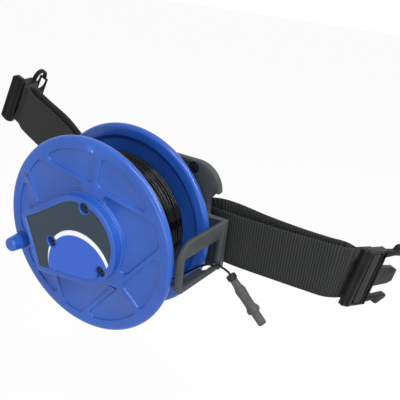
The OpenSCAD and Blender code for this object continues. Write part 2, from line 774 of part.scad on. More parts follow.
// The webbing leaves the socket's broad side squarely: the strap from beside its plate,
// the tail from further in
square_off = 9;
strap_off = 1.5;
tail_off = 2;
strap_root = [at_female(4, strap_off), at_female(2.5, square_off)];
tail_root = [at_female(12, tail_off), at_female(11, square_off)];

module belt_strap() color([0.16, 0.17, 0.17])
    webbing(concat(spline(concat(strap_root, left_stations, right_stations,
                                 [ladder_stations[0]]), 4),
                   [for (i = [1:len(ladder_stations) - 1]) ladder_stations[i]]));

module belt_tail() color([0.14, 0.15, 0.15]) {
    webbing(spline(right_tail_stations, 4));
    webbing(spline(concat(tail_root, left_tail_stations), 4));
}

// ---- Buckle ----

// Puts a shape drawn along X into the place of the male half
module at_male_place() translate(male_place) rotate([0, male_dip, male_turn])
    rotate([male_roll, 0, 0]) children();

module bar(x, length, thick) translate([x, -thick / 2, -buckle_w / 2])
    cube([length, thick, buckle_w]);

block_x = mid_bar + mid_bar_len + slot_w;
rail_w = 2.4;
lip_thinner = 3;
mid_bar_t = 2.4;
arm_root_r = male_t / 2 - 0.6;
arm_root_z = buckle_w / 2 - 4.5;

// The centre tongue: thickness, half widths at its root, shoulder and tip, and the
// length of its tapered end
tongue_t = 5;
tongue_half = 9.5;
tongue_shoulder = 8;
tongue_tip = 5.5;
tongue_taper = 5;

module buckle_male() color([0.13, 0.13, 0.13]) at_male_place() difference() {
    union() {
        bar(0, end_lip + 2, male_t - lip_thinner);
        translate([end_lip + end_bar_r, 0, -buckle_w / 2]) cylinder(r = end_bar_r, h = buckle_w);
        bar(mid_bar, mid_bar_len, mid_bar_t);
        bar(block_x, ladder_len - block_x, male_t);
        for (side = [-1, 1])
            translate([end_lip + end_bar_r, -male_t / 2,
                       side * (buckle_w - rail_w) / 2 - rail_w / 2])
                cube([ladder_len - end_lip - end_bar_r - 0.5, male_t, rail_w]);
        translate([ladder_len - 0.5, tongue_t / 2, 0]) rotate([90, 0, 0])
            linear_extrude(height = tongue_t)
                polygon([[0, -tongue_half], [arm_len - tongue_taper, -tongue_shoulder],
                         [arm_len, -tongue_tip], [arm_len, tongue_tip],
                         [arm_len - tongue_taper, tongue_shoulder], [0, tongue_half]]);
    }
    for (side = [-1, 1]) translate([ladder_len, 0, side * arm_root_z]) rotate([90, 0, 0])
        cylinder(r = arm_root_r + loose, h = male_t + 2, center = true);
}

// One squeeze arm with its barbed head; the head's hook points outwards, along +Z
arm_t = 5.2;

module arm() rotate([-90, 0, 0]) translate([0, 0, -arm_t / 2]) {
    cylinder(r = arm_root_r, h = arm_t);
    linear_extrude(height = arm_t) polygon([[0, -arm_root_r], [arm_len * 0.5, -2.6],
        [arm_len * 0.56, -6], [arm_len * 0.72, -7.4], [arm_len + 1, -1.6], [arm_len + 1.6, 1.2],
        [arm_len - 1, 2.8], [arm_len * 0.5, 1.8], [0, arm_root_r]]);
}

module buckle_arm_upper() color([0.13, 0.13, 0.13]) at_male_place()
    translate([ladder_len, 0, arm_root_z]) arm();

module buckle_arm_lower() color([0.13, 0.13, 0.13]) at_male_place()
    translate([ladder_len, 0, -arm_root_z]) mirror([0, 0, 1]) arm();

// A flat oval drawn in X and Z and raised to both sides along Y
module oval(length, width, thick) {
    for (end = [-1, 1]) translate([0, 0, end * (width - length) / 2]) rotate([90, 0, 0])
        cylinder(r = length / 2, h = thick, center = true);
    translate([-length / 2, -thick / 2, -(width - length) / 2])
        cube([length, thick, width - length]);
}

// The socket half, drawn along X from its ladder end to its mouth: a ridged end plate,
// a hollow body and a ring at each side that a squeeze arm springs into
end_groove_r = 1.6;
plate_groove_r = 3;

module female_body() {
    half_w = female_w / 2;
    plate_half = half_w - plate_inset;
    body_half = half_w - ring_stand;
    ring_z = half_w - rail - ring_hole_w / 2;
    ring_x = female_len - rail - ring_hole_len / 2;
    difference() {
        union() {
            translate([0, -female_t / 2, -plate_half]) cube([plate_len, female_t, 2 * plate_half]);
            translate([0.5, -body_t / 2, -body_half]) cube([female_len - 0.5, body_t, 2 * body_half]);
            for (side = [-1, 1]) translate([ring_x, 0, side * ring_z])
                oval(ring_hole_len + 2 * rail, ring_hole_w + 2 * rail, ring_t);
        }
        translate([block, -body_t / 2 + female_wall, -body_half + female_wall])
            cube([female_len, body_t - 2 * female_wall, 2 * (body_half - female_wall)]);
        for (side = [-1, 1]) translate([ring_x, 0, side * ring_z])
            oval(ring_hole_len, ring_hole_w, female_t);
        for (y = [-1, 1]) translate([-0.4, y * female_t / 4, -half_w - 1])
            cylinder(r = end_groove_r, h = 2 * half_w + 2);
        for (side = [-1, 1]) translate([plate_len / 2, 0, side * (plate_half + 0.5)])
            rotate([0, 90, 0]) for (y = [-1, 1]) translate([0, y * female_t / 2, 0])
                cylinder(r = plate_groove_r, h = plate_len + 2, center = true);
    }
}

module buckle_female() color([0.13, 0.13, 0.13])
    translate(female_place) rotate([female_roll, female_pitch, female_turn]) female_body();

// ---- Free lead and plug ----

// Rings of a tube around a path; every ring stands square to the path
module tube(path, r, sides) {
    n = len(path);
    dirs = [for (i = [0:n - 1]) unit(path[min(i + 1, n - 1)] - path[max(i - 1, 0)])];
    points = [for (i = [0:n - 1])
        let (a = unit(cross(dirs[i], [0, 1, 0.2])), b = cross(dirs[i], a))
        for (k = [0:sides - 1]) path[i] + r * (a * cos(k * 360 / sides) + b * sin(k * 360 / sides))];
    sides_faces = [for (i = [0:n - 2], k = [0:sides - 1])
        [i * sides + k, i * sides + (k + 1) % sides, (i + 1) * sides + (k + 1) % sides,
         (i + 1) * sides + k]];
    polyhedron(points = points, faces = concat(sides_faces, [[for (k = [sides - 1:-1:0]) k]],
        [[for (k = [0:sides - 1]) (n - 1) * sides + k]]));
}

module lead_tail() color("black") tube(spline(lead_route, 3), lead_d / 2, 8);

// Puts a shape drawn along X, from the ring to the tip, into the place of the plug
module at_plug() translate(plug_place) rotate([0, plug_pitch, plug_yaw]) rotate([0, 90, 0])
    children();

neck_z = ring_len;
grip_z = neck_z + neck_len;
collar_z = grip_z + grip_len;
shroud_z = collar_z + collar_len;
shroud_hold = 8;
pin_hold = 14;

module plug_ring() color("black") at_plug()
    translate([0, 0, -ring_len / 2]) ring(ring_r, lead_d / 2 + loose, 0, ring_len);

module plug_crimp() color("silver") at_plug() translate([0, 0, -ring_len / 2 + neck_z])
    cylinder(r = crimp_r, h = crimp_len);

module plug_body() color([0.25, 0.25, 0.25]) at_plug() translate([0, 0, -ring_len / 2])
    difference() {
        translate([0, 0, neck_z]) rotate_extrude() polygon([[0, 0], [neck_r, 0],
            [neck_r, neck_len - 2], [grip_r, neck_len + 2], [grip_r, neck_len + grip_len - 1],
            [collar_r, neck_len + grip_len], [collar_r, neck_len + grip_len + collar_len - 1],
            [collar_r - 1, neck_len + grip_len + collar_len],
            [0, neck_len + grip_len + collar_len]]);
        translate([0, 0, neck_z - 1]) cylinder(r = crimp_r + fit, h = crimp_len + 1);
        translate([0, 0, shroud_z - shroud_hold])
            cylinder(r = shroud_r + fit, h = shroud_hold + 2);
        translate([0, 0, shroud_z - pin_hold]) cylinder(r = pin_r + fit, h = 10);
    }

module plug_shroud() color([0.28, 0.28, 0.28]) at_plug() translate([0, 0, -ring_len / 2])
    difference() {
        translate([0, 0, shroud_z - shroud_hold]) rotate_extrude()
            polygon(concat([[0, 0], [shroud_r, 0]],
                arc([shroud_r - 1, shroud_len + shroud_hold - 1], 1, 0, 90),
                [[0, shroud_len + shroud_hold]]));
        translate([0, 0, shroud_z - 5]) cylinder(r = pin_r + 0.7, h = shroud_len + 6);
        translate([0, 0, shroud_z - 9]) cylinder(r = pin_r + fit, h = 5);
    }

module plug_pin() color("silver") at_plug() translate([0, 0, -ring_len / 2])
    translate([0, 0, shroud_z - pin_hold + fit])
        cylinder(r = pin_r, h = pin_hold + shroud_len - 1.5);

front_flange();
rear_drum();
label_plate();
flange_screws();
crank_knob();
knob_pin();
lead_winding();
inner_lead();
lead_clamp();
clamp_screw();
front_bush();
rear_bush();
axle();
axle_nut();
spring_washer();
front_washer();
drag_washer();
front_frame();
frame_screws();
belt_carrier();
carrier_pad();
belt_strap();
belt_tail();
buckle_male();
buckle_arm_upper();
buckle_arm_lower();
buckle_female();
lead_tail();
plug_ring();
plug_crimp();
plug_body();
plug_shroud();
plug_pin();
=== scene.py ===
import math

import bmesh
import bpy
from mathutils import Matrix, Vector
from mathutils.bvhtree import BVHTree
from mathutils.geometry import intersect_point_line


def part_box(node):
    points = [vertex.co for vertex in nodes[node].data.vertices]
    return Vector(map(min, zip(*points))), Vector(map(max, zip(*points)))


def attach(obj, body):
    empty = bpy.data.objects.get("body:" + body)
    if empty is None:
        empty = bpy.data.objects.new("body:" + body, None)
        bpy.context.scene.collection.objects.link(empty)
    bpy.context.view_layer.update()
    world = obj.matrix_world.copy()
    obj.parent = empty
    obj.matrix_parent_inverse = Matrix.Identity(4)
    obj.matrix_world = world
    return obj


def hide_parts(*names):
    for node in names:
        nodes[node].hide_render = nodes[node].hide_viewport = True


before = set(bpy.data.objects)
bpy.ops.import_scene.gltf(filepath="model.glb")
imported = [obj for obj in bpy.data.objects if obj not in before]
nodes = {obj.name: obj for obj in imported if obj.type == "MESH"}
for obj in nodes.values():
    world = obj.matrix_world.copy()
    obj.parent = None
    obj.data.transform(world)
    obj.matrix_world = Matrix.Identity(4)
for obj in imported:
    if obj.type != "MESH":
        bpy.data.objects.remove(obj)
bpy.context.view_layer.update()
MM = 0.001

# ---- Camera ----
# Looks down on the crank side from the front right, a little above the reel.

camera = bpy.data.objects.new("camera", bpy.data.cameras.new("camera"))
bpy.context.scene.collection.objects.link(camera)
view_right = Vector((0.8518, 0.5143, 0.0966)).normalized()
view_up = Vector((-0.2795, 0.2911, 0.9147))
view_up = (view_up - view_right * view_up.dot(view_right)).normalized()
camera_turn = Matrix((view_right, view_up, view_right.cross(view_up))).transposed()
camera.matrix_world = Matrix.Translation((0.2797, -0.4119, 0.2212)) @ camera_turn.to_4x4()
camera.data.lens = 51.3
camera.data.sensor_width = 36
camera.data.clip_start = 0.01
bpy.context.scene.camera = camera
bpy.context.scene.view_settings.view_transform = "Standard"

# ---- Free lead ----
# The thin black test lead leaves the winding, lies over the lip of the guard's window
# and ends in the plug. Soft glossy PVC, two millimetres thick.


def smooth_path(points, steps):
    """Points of a smooth curve through a few points of any dimension."""
    out = []
    last = len(points) - 1
    for i in range(last):
        a, b = points[max(i - 1, 0)], points[i]
        c, d = points[i + 1], points[min(i + 2, last)]
        for k in range(steps):
            t = k / steps
            out.append([0.5 * (2 * q + (r - p) * t + (2 * p - 5 * q + 4 * r - s) * t * t
                               + (3 * q - p - 3 * r + s) * t ** 3)
                        for p, q, r, s in zip(a, b, c, d)])
    out.append(list(points[-1]))
    return out


def new_material(name):
    """A material with one Principled shader; gives it, its tree and the shader."""
    material = bpy.data.materials.new(name)
    material.use_nodes = True
    tree = material.node_tree
    return material, tree, tree.nodes["Principled BSDF"]


def grain_group():
    """Shared surface detail: broad tone, fine specks and the height of a moulded grain."""
    tree = bpy.data.node_groups.new("moulded_grain", "ShaderNodeTree")
    for name, value in (("Grain size", 0.0006), ("Blotch size", 0.03)):
        socket = tree.interface.new_socket(name, in_out="INPUT", socket_type="NodeSocketFloat")
        socket.default_value = value
    for name in ("Tone", "Speck", "Height"):
        tree.interface.new_socket(name, in_out="OUTPUT", socket_type="NodeSocketFloat")
    given = tree.nodes.new("NodeGroupInput")
    out = tree.nodes.new("NodeGroupOutput")
    where = tree.nodes.new("ShaderNodeTexCoord")
    for size, result, detail in (("Blotch size", "Tone", 3), ("Grain size", "Speck", 2)):
        scale = tree.nodes.new("ShaderNodeMath")
        scale.operation = "DIVIDE"
        scale.inputs[0].default_value = 1
        tree.links.new(given.outputs[size], scale.inputs[1])
        noise = tree.nodes.new("ShaderNodeTexNoise")
        noise.inputs["Detail"].default_value = detail
        tree.links.new(where.outputs["Object"], noise.inputs["Vector"])
        tree.links.new(scale.outputs[0], noise.inputs["Scale"])
        tree.links.new(noise.outputs["Fac"], out.inputs[result])
        if result == "Speck":
            tree.links.new(noise.outputs["Fac"], out.inputs["Height"])
    return tree


moulded_grain = grain_group()


def moulded(name, dark, light, rough, grain=0.0006, bump=0.1, blotch=0.03, round_edge=0.0,
            speck_rough=0.1):
    """A moulded plastic or metal skin: two near tones, grain in its gloss and its height."""
    material, tree, skin = new_material(name)
    detail = tree.nodes.new("ShaderNodeGroup")
    detail.node_tree = moulded_grain
    detail.inputs["Grain size"].default_value = grain
    detail.inputs["Blotch size"].default_value = blotch
    tone = tree.nodes.new("ShaderNodeMapRange")
    tone.inputs["From Min"].default_value = 0.3
    tone.inputs["From Max"].default_value = 0.7
    tree.links.new(detail.outputs["Tone"], tone.inputs["Value"])
    mix = tree.nodes.new("ShaderNodeMix")
    mix.data_type = "RGBA"
    mix.inputs["A"].default_value = (*dark, 1)
    mix.inputs["B"].default_value = (*light, 1)
    tree.links.new(tone.outputs[0], mix.inputs["Factor"])
    tree.links.new(mix.outputs["Result"], skin.inputs["Base Color"])
    gloss = tree.nodes.new("ShaderNodeMapRange")
    gloss.inputs["From Min"].default_value = 0.3
    gloss.inputs["From Max"].default_value = 0.7
    gloss.inputs["To Min"].default_value = rough - speck_rough / 2
    gloss.inputs["To Max"].default_value = rough + speck_rough / 2
    tree.links.new(detail.outputs["Speck"], gloss.inputs["Value"])
    tree.links.new(gloss.outputs[0], skin.inputs["Roughness"])
    height = tree.nodes.new("ShaderNodeBump")
    height.inputs["Strength"].default_value = bump
    height.inputs["Distance"].default_value = grain * 0.5
    tree.links.new(detail.outputs["Height"], height.inputs["Height"])
    if round_edge:
        edge = tree.nodes.new("ShaderNodeBevel")
        edge.samples = 6
        edge.inputs["Radius"].default_value = round_edge
        tree.links.new(edge.outputs["Normal"], height.inputs["Normal"])
    tree.links.new(height.outputs["Normal"], skin.inputs["Normal"])
    return material, tree, skin


def dress(name, material):
    """Gives a CAD node its finish."""
    mesh = nodes[name].data
    mesh.materials.clear()
    mesh.materials.append(material)


def add_piece(name, mesh, material, body, replaces=()):
    """Puts a finished mesh into the scene on its body."""
    mesh.materials.clear()
    mesh.materials.append(material)
    piece = bpy.data.objects.new(name, mesh)
    bpy.context.scene.collection.objects.link(piece)
    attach(piece, body)
    if replaces:
        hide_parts(*replaces)
    return piece


def tight_spots(mesh, surface, radius):
    """Where rounding went astray: beside the corners that left the old surface."""
    too_far = 0.65 * radius
    bm = bmesh.new()
    bm.from_mesh(mesh)
    astray = {v for v in bm.verts if surface.find_nearest(v.co)[3] > too_far}
    spots = [e.other_vert(v).co.copy() for v in astray for e in v.link_edges
             if e.other_vert(v) not in astray]
    bm.free()
    return spots


def rounded(node_name, name, radius, material, body, most_corners=0, angle=32):
    """A moulded node with its edges rounded; a corner too tight for that stays sharp.

    Faces with more than most_corners corners are cut in triangles first.
    """
    mesh = nodes[node_name].data.copy()
    mesh.name = name
    bm = bmesh.new()
    bm.from_mesh(mesh)
    bmesh.ops.remove_doubles(bm, verts=bm.verts, dist=2e-6)
    surface = BVHTree.FromBMesh(bm)
    bmesh.ops.remove_doubles(bm, verts=bm.verts, dist=0.1 * MM)
    bmesh.ops.dissolve_limit(bm, angle_limit=math.radians(0.6), verts=bm.verts, edges=bm.edges)
    if most_corners:
        wide_faces = [face for face in bm.faces if len(face.verts) > most_corners]
        bmesh.ops.triangulate(bm, faces=wide_faces)
    most_tries = 6
    weight = bm.edges.layers.float.new("bevel_weight_edge")
    for edge in bm.edges:
        edge[weight] = float(edge.is_manifold and edge.calc_face_angle() > math.radians(angle))
    for _ in range(most_tries):
        bm.to_mesh(mesh)
        holder = bpy.data.objects.new(name + "_source", mesh)
        bpy.context.scene.collection.objects.link(holder)
        bevel = holder.modifiers.new("edges", "BEVEL")
        bevel.width = radius
        bevel.segments = 2
        bevel.limit_method = "WEIGHT"
        bevel.use_clamp_overlap = False
        bevel.miter_outer = "MITER_ARC"
        graph = bpy.context.evaluated_depsgraph_get()
        finished = bpy.data.meshes.new_from_object(holder.evaluated_get(graph), depsgraph=graph)
        bpy.data.objects.remove(holder)
        spots = tight_spots(finished, surface, radius)
        if not spots:
            break
        for edge in bm.edges:
            a, b = (v.co for v in edge.verts)
            for spot in spots:
                near = a.lerp(b, min(1, max(0, intersect_point_line(spot, a, b)[1])))
                if (near - spot).length < 2 * radius:
                    edge[weight] = 0
                    break
    bm.free()
    finished.name = name
    for polygon in finished.polygons:
        polygon.use_smooth = True
    finished.set_sharp_from_angle(angle=math.radians(40))
    return add_piece(name, finished, material, body, [node_name])


lead_d = 2 * MM
lead_route = [[38, -46, -53], [60, -43, -38], [79, -40.6, -21.5], [85.4, -39.8, -16.6],
              [89.4, -37.2, -15.2], [93.6, -34, -15.4], [98, -29.2, -18.8],
              [101.2, -25.8, -22.4], [103.1, -24.9, -24.3], [107.5, -24.4, -29]]
lead_skin = moulded("lead_cover", (0.001, 0.001, 0.001), (0.003, 0.003, 0.003), 0.14,
                    grain=0.0006, bump=0.015, blotch=0.01)
lead_skin[2].inputs["Specular IOR Level"].default_value = 0.28
lead_cover = lead_skin[0]
lead_points = [Vector(p) * MM for p in smooth_path(lead_route, 6)]
lead_curve = bpy.data.curves.new("free_lead", "CURVE")
lead_curve.dimensions = "3D"
lead_curve.bevel_depth = lead_d / 2
lead_curve.bevel_resolution = 3
lead_curve.use_fill_caps = True
lead_line = lead_curve.splines.new("POLY")
lead_line.points.add(len(lead_points) - 1)
for point, place in zip(lead_line.points, lead_points):
    point.co = (*place, 1)
lead_curve.materials.append(lead_cover)
free_lead = bpy.data.objects.new("free_lead", lead_curve)
bpy.context.scene.collection.objects.link(free_lead)
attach(free_lead, "frame")
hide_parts("lead_tail")

# ---- Plug ----
# A straight test plug: a knurled ring where the lead goes in, a narrow neck, a waisted
# grip with fine ribs and a collar, and a fixed sleeve round its contact pin.

plug_plastic = moulded("plug_plastic", (0.045, 0.045, 0.045), (0.07, 0.07, 0.07), 0.5,
                       grain=0.0004, bump=0.15, blotch=0.006)
plug_plastic[2].inputs["Specular IOR Level"].default_value = 0.25
plug_black = moulded("plug_black", (0.004, 0.004, 0.004), (0.009, 0.009, 0.009), 0.4,
                     grain=0.0004, bump=0.12, blotch=0.01)
plug_black[2].inputs["Specular IOR Level"].default_value = 0.25
nickel = moulded("nickel", (0.5, 0.48, 0.43), (0.62, 0.6, 0.54), 0.25, grain=0.0003, bump=0.03)
nickel[2].inputs["Metallic"].default_value = 1
plug_place = Vector((105.8, -24.6, -27.2))
plug_turn = Matrix.Rotation(math.radians(6), 3, "Z") @ Matrix.Rotation(math.radians(46.5), 3, "Y")
grip_profile = [[2.6, 0], [2.6, 3.1], [3, 3.35], [7, 3.45], [9.6, 3.7], [11.6, 4.4], [13.6, 4.85],
                [16, 4.75], [21, 4.4], [26, 4.3], [29.4, 4.5], [31, 5.1], [32.2, 5.7],
                [33.8, 5.9], [35.2, 5.6], [35.9, 4.9], [35.95, 3.9], [35.95, 0]]


def turned_along_plug(name, profile, ribs=0, rib_h=0.0, rib_span=(0, 0)):
    """A turned shape on the plug's axis, with fine ribs along a part of its length."""
    sides = max(48, ribs * 6)
    rows = smooth_path(profile, 3)
    mesh = bpy.data.meshes.new(name)
    bm = bmesh.new()
    rings = []
    for along, radius in rows:
        ring = []
        share = min(max(0.0, along - rib_span[0]), max(0.0, rib_span[1] - along), 1.0)
        for k in range(sides):
            turn = 2 * math.pi * k / sides
            r = max(radius, 0.01) + share * rib_h * (math.cos(ribs * turn) - 1) / 2
            spot = Vector((along, r * math.cos(turn), r * math.sin(turn)))
            ring.append(bm.verts.new((plug_turn @ spot + plug_place) * MM))
        rings.append(ring)
    for low, high in zip(rings, rings[1:]):
        for k in range(sides):
            bm.faces.new((low[k], low[(k + 1) % sides], high[(k + 1) % sides], high[k]))
    bm.faces.new(list(reversed(rings[0])))
    bm.faces.new(rings[-1])
    bmesh.ops.recalc_face_normals(bm, faces=bm.faces)
    for face in bm.faces:
        face.smooth = len(face.verts) == 4
    bm.to_mesh(mesh)
    bm.free()
    return mesh


grip_mesh = turned_along_plug("plug_grip", grip_profile, 24, 0.28, (13, 30))
plug_grip = add_piece("plug_grip", grip_mesh, plug_plastic[0], "frame",
                      ["plug_body"])
ring_profile = [[-2.5, 1.4], [-2.5, 3.7], [-2.1, 4.2], [-1.4, 4.4], [1.4, 4.4], [2.1, 4.2],
                [2.5, 3.7], [2.5, 3.2]]
ring_mesh = turned_along_plug("plug_ring_knurled", ring_profile, 20, 0.3, (-2, 2))
plug_ring = add_piece("plug_ring_knurled", ring_mesh, plug_black[0], "frame",
                      ["plug_ring"])
dress("plug_shroud", plug_plastic[0])
for node_name in ("plug_pin", "plug_crimp"):
    dress(node_name, nickel[0])

# ---- Belt ----
# Black polypropylene webbing of the common belt width, woven with a fine rib across it.
# It runs through the carrier behind the reel, and each end is turned back behind itself.

belt_w = 47.5 * MM
belt_t = 2 * MM
loose = 0.3
channel_half = 62
tail_layer_y = -6.3
front_layer_y = -9.5
male_reach, female_reach = 198.5, 236
male_place = Vector((male_reach, 1, -3.3))
male_turn, male_dip, male_roll = math.radians(62), math.radians(8), math.radians(6)
male_along = Vector((math.cos(male_turn) * math.cos(male_dip),
                     math.sin(male_turn) * math.cos(male_dip), -math.sin(male_dip)))
male_level = Vector((-math.sin(male_turn), math.cos(male_turn), 0))
male_across = (math.cos(male_roll) * male_level
               + math.sin(male_roll) * male_along.cross(male_level))
male_up = male_along.cross(male_across)
female_place = Vector((-female_reach, 47, 46.5))
female_turned = (Matrix.Rotation(math.radians(96), 3, "Z")
                 @ Matrix.Rotation(math.radians(-2), 3, "Y")
                 @ Matrix.Rotation(math.radians(24), 3, "X"))
female_along, female_up = female_turned.col[0], female_turned.col[2]
female_side = -female_turned.col[1]
female_t = 16


def placed(stations, start, end):
    """Stations whose first number is a share of the way from one end to the other."""
    return [[start + (end - start) * s[0], *s[1:]] for s in stations]


left_stations = placed([[0.83, 44.5, 36.5, 0.36, 0.05], [0.682, 38, 30, 0.28, 0.08],
                        [0.483, 29, 21, 0.2, 0.08], [0.318, 18, 13.5, 0.14, 0.05],
                        [0.188, -1, 6.5, 0.06, 0.01], [0.091, -9.8, 2, 0.01, 0],
                        [0, front_layer_y, 0, 0, 0], [-0.1, front_layer_y, 0, 0, 0]],
                       -channel_half, -female_reach)
left_tail_stations = placed([[0.81, 53, 38.5, 0.36, 0.05], [0.682, 46, 33.5, 0.28, 0.08],
                             [0.483, 37, 25, 0.2, 0.08], [0.318, 25.5, 18, 0.15, 0.05],
                             [0.188, 15, 12.5, 0.1, 0.03], [0.1, 2.5, 6, 0.04, 0.01],
                             [0.055, tail_layer_y + 2.6, 2, 0.01, 0],
                             [0.02, tail_layer_y + 0.5, 0.2, 0, 0],
                             [-0.01, tail_layer_y, 0, 0, 0], [-0.04, tail_layer_y, 0, 0, 0]],
                            -channel_half, -female_reach)
right_stations = placed([[-0.13, front_layer_y, 0, 0, 0], [0, front_layer_y, 0, 0, 0],
                         [0.28, -11.6, 0, 0, 0], [0.574, -9.5, -0.4, 0.01, 0],
                         [0.765, -6.5, -1, 0.06, 0.03], [0.88, -4.2, -1.4, 0.12, 0.05]],
                        channel_half, male_reach)
right_tail_stations = placed([[0.9, 3, 0.2, 0.1, 0.1], [0.82, 1.4, 0.6, 0.07, 0.07],
                              [0.647, -1.6, 2.4, 0.03, 0.02], [0.426, -2.6, 4.4, 0, 0],
                              [0.206, -3.4, 7.4, 0, 0], [0.09, -5.2, 7, 0, 0],
                              [0.02, tail_layer_y + 0.1, 1.4, 0, 0],
                              [-0.01, tail_layer_y, 0, 0, 0], [-0.044, tail_layer_y, 0, 0, 0]],
                             channel_half, male_reach)


def at_male(along, across):
    """A station of the webbing, given along and across the buckle's pronged half."""
    p = male_place + along * male_along + across * male_across
    return [*p, male_up.x / male_up.z, male_up.y / male_up.z]


def at_female(along, off):
    """A station of the webbing off the broad side of the buckle's socket half."""
    p = female_place + along * female_along + (female_t / 2 + off) * female_side
    return [*p, female_up.x / female_up.z, female_up.y / female_up.z]


def bend(along, across, radius, start, end):
    """Stations of a bend of the webbing round a bar."""
    turns = [math.radians(start + (end - start) * i / 6) for i in range(7)]
    return [at_male(along + radius * math.cos(t), across + radius * math.sin(t)) for t in turns]


end_bar_r = 4.4
over_y = end_bar_r + belt_t / MM / 2 + loose
mid_bar, mid_bar_len, bend_r = 13.8, 3, 1.4
dive = mid_bar - 2.2
under_y = -1.8
rise = mid_bar + mid_bar_len + 1.6
back_y = over_y + 2.6
ladder_stations = [at_male(-3, over_y + 1), at_male(4, over_y),
                   *bend(dive - bend_r, over_y - bend_r, bend_r, 90, 0),
                   *bend(dive + bend_r, under_y, bend_r, 180, 270),
                   *bend(rise - bend_r, under_y, bend_r, -90, 0), at_male(rise, over_y),
                   *bend(rise - bend_r, back_y - bend_r, bend_r, 0, 90),
                   at_male(4, over_y + 2.7), at_male(-1, over_y + 3.2)]


rib_pitch = 2.3 * MM


def even_steps(stations, step):
    """The same way in even steps of length, so that the ribs keep their pitch."""
    gone = [0.0]
    for a, b in zip(stations, stations[1:]):
        gone.append(gone[-1] + math.dist(a[:3], b[:3]))
    count = max(2, round(gone[-1] / step))
    out, i = [], 0
    for k in range(count + 1):
        want = gone[-1] * k / count
        while i < len(stations) - 2 and gone[i + 1] < want:
            i += 1
        t = (want - gone[i]) / max(gone[i + 1] - gone[i], 1e-9)
        out.append([p + (q - p) * t for p, q in zip(stations[i], stations[i + 1])])
    return out


def webbing_mesh(name, stations, edge_steps=3):
    """Webbing with rounded edges and woven ribs; its UV map is in metres."""
    steps_a_rib = 6
    edge_round = belt_t * 0.35
    stations = even_steps(stations, rib_pitch / MM / steps_a_rib)
    count = len(stations)
    path = [Vector(s[:3]) * MM for s in stations]
    ring = []
    for i in range(edge_steps + 1):
        a = math.pi * i / edge_steps - math.pi / 2
        ring.append((belt_w / 2 - edge_round + edge_round * math.cos(a),
                     belt_t / 2 * math.sin(a)))
    spans = 10
    side = [(belt_w / 2 - edge_round) * (1 - 2 * k / spans) for k in range(1, spans)]
    ring += [(w, belt_t / 2) for w in side]
    ring += [(-w, -t) for w, t in ring[:edge_steps + 1]]
    ring += [(-w, -belt_t / 2) for w in side]
    mesh = bpy.data.meshes.new(name)
    bm = bmesh.new()
    uv = bm.loops.layers.uv.new("UVMap")
    rows, gone = [], [0.0]
    for i in range(count):
        along = (path[min(i + 1, count - 1)] - path[max(i - 1, 0)]).normalized()
        lean = Vector((stations[i][3], stations[i][4], 1))
        wide = (lean - along * lean.dot(along)).normalized()
        thick = along.cross(wide)
        if i:
            gone.append(gone[-1] + (path[i] - path[i - 1]).length)
        dent = 1 - 0.06 * (1 - math.cos(2 * math.pi * gone[i] / rib_pitch))
        rows.append([bm.verts.new(path[i] + wide * w * (0.994 + 0.006 * dent) + thick * t * dent)
                     for w, t in ring])
    across = [0.0]
    for (w0, t0), (w1, t1) in zip(ring, ring[1:] + ring[:1]):
        across.append(across[-1] + math.hypot(w1 - w0, t1 - t0))
    n = len(ring)
    for i in range(count - 1):
        for k in range(n):
            face = bm.faces.new((rows[i][k], rows[i][(k + 1) % n],
                                 rows[i + 1][(k + 1) % n], rows[i + 1][k]))
            face.smooth = True
            corners = ((gone[i], across[k]), (gone[i], across[k + 1]),
                       (gone[i + 1], across[k + 1]), (gone[i + 1], across[k]))
            for loop, value in zip(face.loops, corners):
                loop[uv].uv = value
    for end in (list(reversed(rows[0])), rows[-1]):
        cap = bm.faces.new(end)
        for loop in cap.loops:
            loop[uv].uv = (loop.vert.co.z, loop.vert.co.y)
    bmesh.ops.recalc_face_normals(bm, faces=bm.faces)
    bm.to_mesh(mesh)
    bm.free()
    return mesh, gone[-1]


